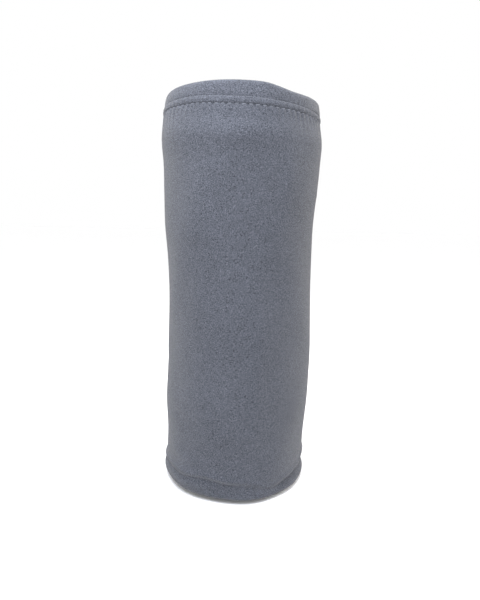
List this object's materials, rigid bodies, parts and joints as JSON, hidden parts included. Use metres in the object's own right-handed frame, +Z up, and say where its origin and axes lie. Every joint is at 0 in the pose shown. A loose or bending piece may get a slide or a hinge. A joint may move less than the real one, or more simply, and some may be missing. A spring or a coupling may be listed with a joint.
{
  "type": "rolled throw blanket",
  "caption": "Hemmed polar fleece throw, folded in thirds and rolled into an upright cylinder, with a free end that peels off the roll.",
  "frame": {"origin": "middle of the roll's footprint, on the surface it stands on", "axes": "+Z up along the roll, -Y towards the smooth front, +Y towards the free end at the back, +X to the right seen from the front"},
  "size_m": [0.166, 0.1732, 0.434],
  "materials": {
    "fleece": "soft brushed polar fleece, short nap, blue-grey",
    "hem_thread": "matt spun polyester sewing thread, blue-grey",
    "label_satin": "blank woven satin, off-white"
  },
  "bodies": {
    "rolled_throw": {"fleece_roll": "fleece", "outer_hem_needle_thread_roll": "hem_thread", "outer_hem_bobbin_thread_roll": "hem_thread", "tucked_hem_needle_thread_roll": "hem_thread", "tucked_hem_bobbin_thread_roll": "hem_thread", "core_end_hem_needle_thread": "hem_thread", "core_end_hem_bobbin_thread": "hem_thread"},
    "free_end_root": {"fleece_free_end_root": "fleece", "outer_hem_needle_thread_free_end_root": "hem_thread", "outer_hem_bobbin_thread_free_end_root": "hem_thread", "tucked_hem_needle_thread_free_end_root": "hem_thread", "tucked_hem_bobbin_thread_free_end_root": "hem_thread"},
    "free_end_tip": {"fleece_free_end_tip": "fleece", "outer_hem_needle_thread_free_end_tip": "hem_thread", "outer_hem_bobbin_thread_free_end_tip": "hem_thread", "tucked_hem_needle_thread_free_end_tip": "hem_thread", "tucked_hem_bobbin_thread_free_end_tip": "hem_thread", "free_end_hem_needle_thread": "hem_thread", "free_end_hem_bobbin_thread": "hem_thread", "care_label": "label_satin"}
  },
  "joints": [
    {"name": "free_end_peel", "type": "hinge", "parent": "rolled_throw", "child": "free_end_root", "pos_m": [0.07281, 0.04051, 0], "axis": [0, 0, -1], "range_deg": [0, 45]},
    {"name": "free_end_straighten", "type": "hinge", "parent": "free_end_root", "child": "free_end_tip", "pos_m": [0.0197, 0.08339, 0], "axis": [0, 0, -1], "range_deg": [0, 36]}
  ],
  "couplings": [
    {"joint": "free_end_straighten", "follows": "free_end_peel", "ratio": 0.8}
  ]
}
